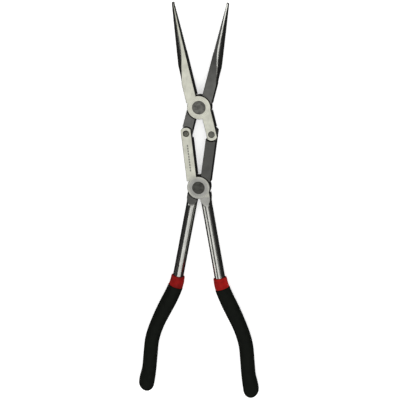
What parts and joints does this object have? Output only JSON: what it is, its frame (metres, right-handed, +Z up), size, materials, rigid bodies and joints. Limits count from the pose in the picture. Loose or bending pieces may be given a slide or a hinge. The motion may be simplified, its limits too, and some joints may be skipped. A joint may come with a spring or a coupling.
{
  "type": "needle nose pliers",
  "caption": "Long-reach needle nose pliers with a double cross joint: slim serrated jaws, crossed link levers, round handle rods and bent dipped grips.",
  "frame": {"origin": "middle of the underside of the tool's bounding box, with the tool lying flat and its jaws open as drawn", "axes": "+Y along the tool towards the jaw tips, +X to the tool's right, +Z up through its thickness"},
  "size_m": [0.1234, 0.3958, 0.0146],
  "materials": {
    "ground_steel": "ground and brushed, bright",
    "dark_steel": "satin, darker grey",
    "rivet_steel": "dull, turned",
    "red_plastic": "semi-gloss vinyl",
    "black_rubber": "fine matt grain"
  },
  "bodies": {
    "back_handle_side": {"back_handle_lever": "dark_steel", "left_collar": "red_plastic", "left_grip": "black_rubber", "lower_pivot_rivet": "rivet_steel", "right_link_rivet": "rivet_steel"},
    "front_handle_side": {"front_handle_lever": "ground_steel", "right_collar": "red_plastic", "right_grip": "black_rubber", "left_link_rivet": "rivet_steel"},
    "front_jaw_side": {"front_jaw": "ground_steel", "upper_pivot_rivet": "rivet_steel"},
    "back_jaw_side": {"back_jaw": "dark_steel"}
  },
  "joints": [
    {"name": "squeeze", "type": "hinge", "parent": "back_handle_side", "child": "front_handle_side", "pos_m": [0, 0.01918, 0.0073], "axis": [0, 0, 1], "range_deg": [-14.35, 5]},
    {"name": "front_jaw_swing", "type": "hinge", "parent": "back_handle_side", "child": "front_jaw_side", "pos_m": [0.01243, 0.07224, 0.0073], "axis": [0, 0, 1], "range_deg": [-21.6, 7.6]},
    {"name": "back_jaw_swing", "type": "hinge", "parent": "front_jaw_side", "child": "back_jaw_side", "pos_m": [0, 0.09811, 0.0073], "axis": [0, 0, 1], "range_deg": [-10.1, 28.6]}
  ],
  "couplings": [
    {"joint": "front_jaw_swing", "follows": "squeeze", "ratio": 1.4894},
    {"joint": "back_jaw_swing", "follows": "squeeze", "ratio": -1.9788}
  ]
}
